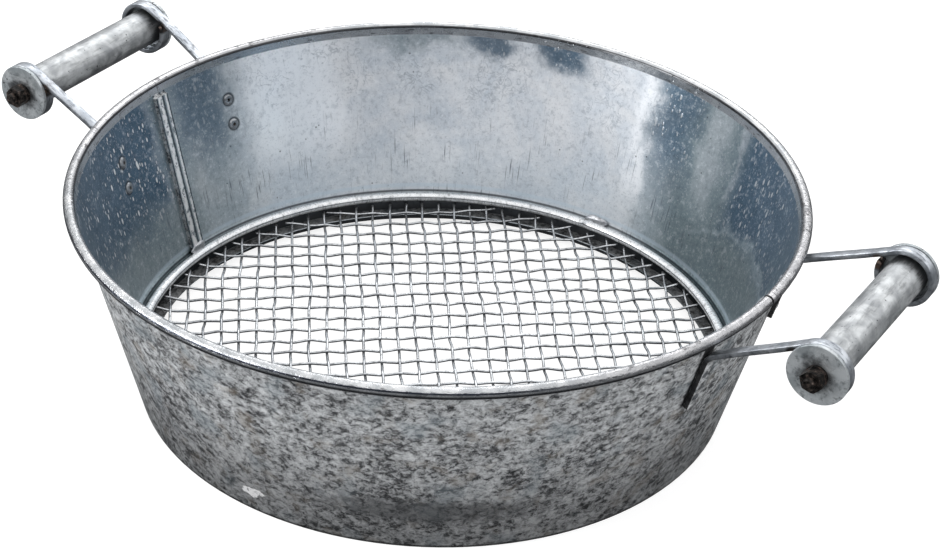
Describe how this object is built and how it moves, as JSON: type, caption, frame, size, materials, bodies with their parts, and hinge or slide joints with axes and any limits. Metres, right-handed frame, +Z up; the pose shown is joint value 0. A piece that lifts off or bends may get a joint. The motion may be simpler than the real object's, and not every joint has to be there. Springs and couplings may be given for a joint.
{
  "type": "soil sieve",
  "caption": "Round flared sheet-metal sieve with a rolled rim, a woven wire bottom and a turning tube grip on each side.",
  "frame": {"origin": "centre of the tub's bottom edge, on the surface it rests on", "axes": "+Z up, +X from the tub's axis through the right grip, +Y towards the back sheet"},
  "size_m": [0.49, 0.374, 0.127],
  "materials": {
    "zinc_sheet": "weathered hot-dip zinc, mottled, satin",
    "zinc_wire": "bright drawn zinc-coated wire",
    "zinc_strap": "bright zinc with dark edges",
    "zinc_tube": "smooth zinc-coated tube, satin",
    "zinc_washer": "zinc-plated, slightly speckled",
    "rusty_steel": "darkened, rusting bolt steel",
    "rivet_metal": "dull pulled rivet",
    "solder": "dull tin solder"
  },
  "bodies": {
    "tub": {"wall_sheet_front": "zinc_sheet", "wall_sheet_back": "zinc_sheet", "rim_wire": "zinc_wire", "mesh_retaining_ring": "zinc_wire", "mesh_warp_wires": "zinc_wire", "mesh_weft_wires": "zinc_wire", "solder_tacks": "solder", "bracket_left_front": "zinc_strap", "rivets_left_front": "rivet_metal", "bracket_left_back": "zinc_strap", "rivets_left_back": "rivet_metal", "bracket_right_front": "zinc_strap", "rivets_right_front": "rivet_metal", "bracket_right_back": "zinc_strap", "rivets_right_back": "rivet_metal"},
    "left_grip": {"grip_tube_left": "zinc_tube", "grip_bolt_left": "rusty_steel", "grip_nut_left": "rusty_steel", "washer_left_front": "zinc_washer", "washer_left_back": "zinc_washer"},
    "right_grip": {"grip_tube_right": "zinc_tube", "grip_bolt_right": "rusty_steel", "grip_nut_right": "rusty_steel", "washer_right_front": "zinc_washer", "washer_right_back": "zinc_washer"}
  },
  "joints": [
    {"name": "left_grip_spin", "type": "hinge", "parent": "tub", "child": "left_grip", "pos_m": [-0.23, 0, 0.112], "axis": [0, 1, 0], "continuous": true},
    {"name": "right_grip_spin", "type": "hinge", "parent": "tub", "child": "right_grip", "pos_m": [0.23, 0, 0.112], "axis": [0, 1, 0], "continuous": true}
  ]
}
